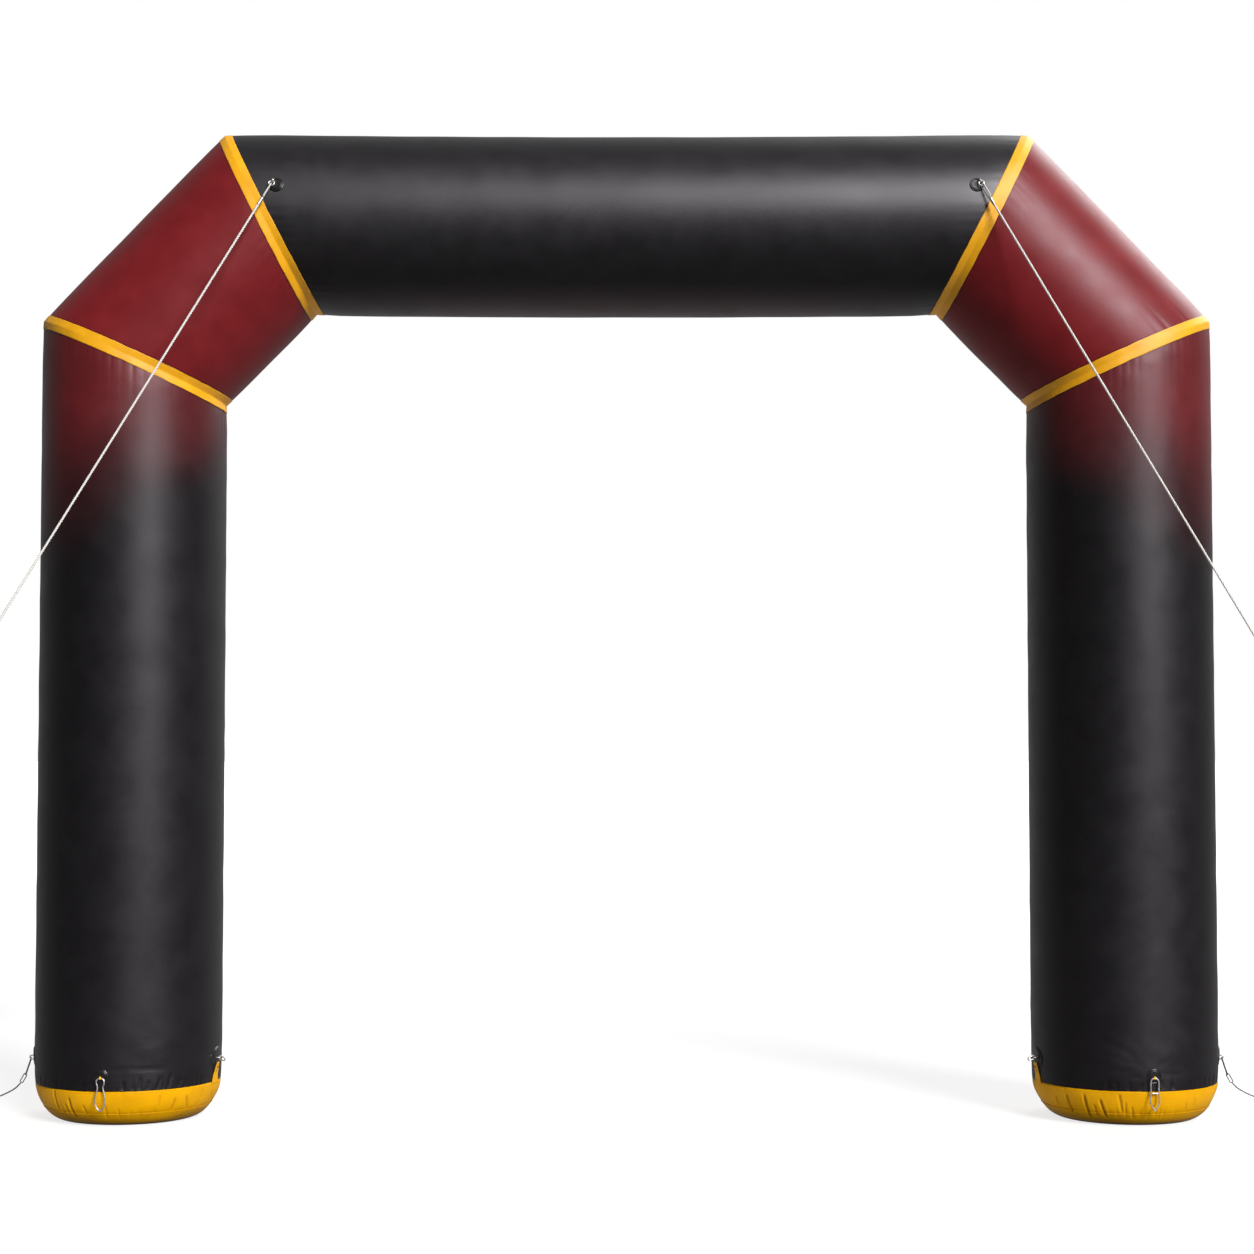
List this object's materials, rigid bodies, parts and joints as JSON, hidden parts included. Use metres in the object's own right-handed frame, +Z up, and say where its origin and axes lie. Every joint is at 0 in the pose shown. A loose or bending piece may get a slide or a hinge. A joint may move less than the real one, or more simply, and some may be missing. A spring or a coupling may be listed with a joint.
{
  "type": "inflatable arch",
  "caption": "Air-filled event arch on two round legs with mitred corner sections, seam bands, tie-down patches, hooks and guy ropes",
  "frame": {"origin": "on the ground, midway between the two legs and between the front and back of the tubes", "axes": "+X along the arch, +Y from front to back, +Z up"},
  "size_m": [6.1838, 1.4267, 4.2968],
  "materials": {
    "black_fabric": "black coated polyester tarpaulin, satin",
    "maroon_fabric": "maroon coated polyester tarpaulin, satin",
    "leg_fabric": "coated polyester tarpaulin printed maroon fading to black, satin",
    "yellow_fabric": "golden yellow coated polyester tarpaulin, satin, with tucks",
    "yellow_webbing": "golden yellow coated strip, sewn on",
    "black_patch": "black moulded patch, welded on",
    "steel": "polished steel wire",
    "white_rope": "white braided polyester rope",
    "wire_rope": "grey galvanised wire rope"
  },
  "bodies": {
    "root": {"beam_tube": "black_fabric", "corner_tube_left": "maroon_fabric", "corner_tube_right": "maroon_fabric", "leg_tube_left": "leg_fabric", "leg_tube_right": "leg_fabric", "foot_cuff_left": "yellow_fabric", "foot_cuff_right": "yellow_fabric", "knee_band_left": "yellow_webbing", "knee_band_right": "yellow_webbing", "shoulder_band_left": "yellow_webbing", "shoulder_band_right": "yellow_webbing", "guy_patch_left": "black_patch", "guy_patch_right": "black_patch", "guy_staple_left": "steel", "guy_staple_right": "steel", "guy_eye_left": "steel", "guy_eye_right": "steel", "guy_loop_left": "white_rope", "guy_loop_right": "white_rope", "guy_sleeve_left": "steel", "guy_sleeve_right": "steel", "guy_rope_left": "white_rope", "guy_rope_right": "white_rope", "guy_end_left": "white_rope", "guy_end_right": "white_rope", "front_patch_left": "black_patch", "front_patch_right": "black_patch", "front_loop_left": "yellow_webbing", "front_loop_right": "yellow_webbing", "front_hook_left": "steel", "front_hook_right": "steel", "front_hook_bar_right": "steel", "inner_patch_left": "black_patch", "inner_patch_right": "black_patch", "inner_staple_left": "steel", "inner_staple_right": "steel", "inner_link_left": "steel", "inner_link_right": "steel", "inner_ring_left": "wire_rope", "inner_ring_right": "wire_rope", "inner_strap_left": "yellow_webbing", "inner_strap_right": "yellow_webbing", "outer_patch_left": "black_patch", "outer_patch_right": "black_patch", "outer_staple_left": "steel", "outer_staple_right": "steel", "tether_loop_left": "wire_rope", "tether_loop_right": "wire_rope", "tether_eye_left": "wire_rope", "tether_eye_right": "wire_rope", "tether_left": "wire_rope", "tether_right": "wire_rope", "tether_end_left": "steel", "tether_end_right": "steel"}
  },
  "joints": []
}
